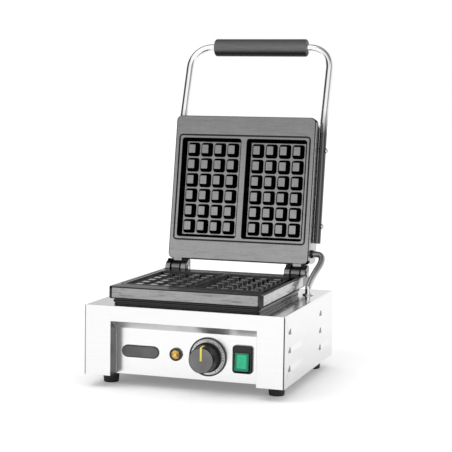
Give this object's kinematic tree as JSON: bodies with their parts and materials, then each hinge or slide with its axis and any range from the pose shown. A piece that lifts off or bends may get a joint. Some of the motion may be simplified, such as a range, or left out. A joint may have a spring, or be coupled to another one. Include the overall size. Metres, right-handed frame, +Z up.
{
  "type": "liege waffle maker",
  "caption": "Countertop liege waffle iron with two rectangular square-celled moulds, a hinged lid with a looped tube handle, and a recessed control panel with a dial, lamp and rocker switch.",
  "frame": {"origin": "on the surface that the feet stand on, below the middle of the whole bounding box with the lid open", "axes": "+X to the user's right, +Y from the control panel to the rear, +Z up"},
  "size_m": [0.291, 0.3735, 0.4908],
  "materials": {
    "brushed_stainless": "bright brushed sheet",
    "polished_tube": "polished",
    "zinc_plated_steel": "zinc plated",
    "seasoned_cast_iron": "seasoned, satin",
    "painted_steel": "dark heat-proof paint",
    "heating_element": "dark oxide",
    "mineral_wool": "fibrous slab",
    "black_rubber": "matt",
    "black_plastic": "satin",
    "grey_plate": "dark grey, satin",
    "amber_lens": "glossy, translucent",
    "green_rocker": "glossy, translucent",
    "glazed_ceramic": "glazed"
  },
  "bodies": {
    "base": {"housing_shell": "brushed_stainless", "front_fascia": "brushed_stainless", "control_panel": "brushed_stainless", "rear_panel": "brushed_stainless", "bottom_cover": "brushed_stainless", "foot_front_left": "black_rubber", "foot_front_right": "black_rubber", "foot_rear_left": "black_rubber", "foot_rear_right": "black_rubber", "foot_screw_1": "zinc_plated_steel", "foot_screw_2": "zinc_plated_steel", "foot_screw_3": "zinc_plated_steel", "foot_screw_4": "zinc_plated_steel", "rear_panel_screw_1": "zinc_plated_steel", "rear_panel_screw_2": "zinc_plated_steel", "rear_panel_screw_3": "zinc_plated_steel", "rear_panel_screw_4": "zinc_plated_steel", "name_plate": "grey_plate", "lamp_bezel": "black_plastic", "lamp_lens": "amber_lens", "lamp_body": "black_plastic", "dial_ring": "brushed_stainless", "thermostat_body": "black_plastic", "thermostat_bulb": "zinc_plated_steel", "switch_frame": "black_plastic", "cable_gland": "black_plastic", "terminal_block": "glazed_ceramic", "lower_plate": "seasoned_cast_iron", "lower_skirt": "painted_steel", "lower_heating_element": "heating_element", "lower_element_clamp": "zinc_plated_steel", "plate_bolt_1": "zinc_plated_steel", "plate_bolt_2": "zinc_plated_steel", "plate_bolt_3": "zinc_plated_steel", "plate_bolt_4": "zinc_plated_steel", "hinge_pin_left": "zinc_plated_steel", "hinge_pin_right": "zinc_plated_steel", "conduit": "polished_tube", "conduit_deck_nut": "zinc_plated_steel"},
    "lid": {"upper_plate": "seasoned_cast_iron", "upper_cover": "brushed_stainless", "upper_heating_element": "heating_element", "upper_element_clamp": "zinc_plated_steel", "upper_insulation": "mineral_wool", "cover_bolt_1": "zinc_plated_steel", "cover_bolt_2": "zinc_plated_steel", "cover_bolt_3": "zinc_plated_steel", "cover_bolt_4": "zinc_plated_steel", "handle_tube": "polished_tube", "handle_grip": "black_plastic", "handle_screw_1": "zinc_plated_steel", "handle_screw_2": "zinc_plated_steel", "handle_screw_3": "zinc_plated_steel", "handle_screw_4": "zinc_plated_steel", "conduit_lid_nut": "zinc_plated_steel"},
    "knob": {"thermostat_knob": "black_plastic", "thermostat_spindle": "zinc_plated_steel"},
    "rocker": {"switch_rocker": "green_rocker"}
  },
  "joints": [
    {"name": "lid_hinge", "type": "hinge", "parent": "base", "child": "lid", "pos_m": [0, 0.05907, 0.1408], "axis": [1, 0, 0], "range_deg": [0, 99], "deforming": ["conduit"]},
    {"name": "knob_turn", "type": "hinge", "parent": "base", "child": "knob", "pos_m": [0.0297, -0.15533, 0.0495], "axis": [0, 1, 0], "range_deg": [0, 300]},
    {"name": "rocker_tilt", "type": "hinge", "parent": "base", "child": "rocker", "pos_m": [0.079, -0.15513, 0.0495], "axis": [1, 0, 0], "range_deg": [0, 14]}
  ]
}
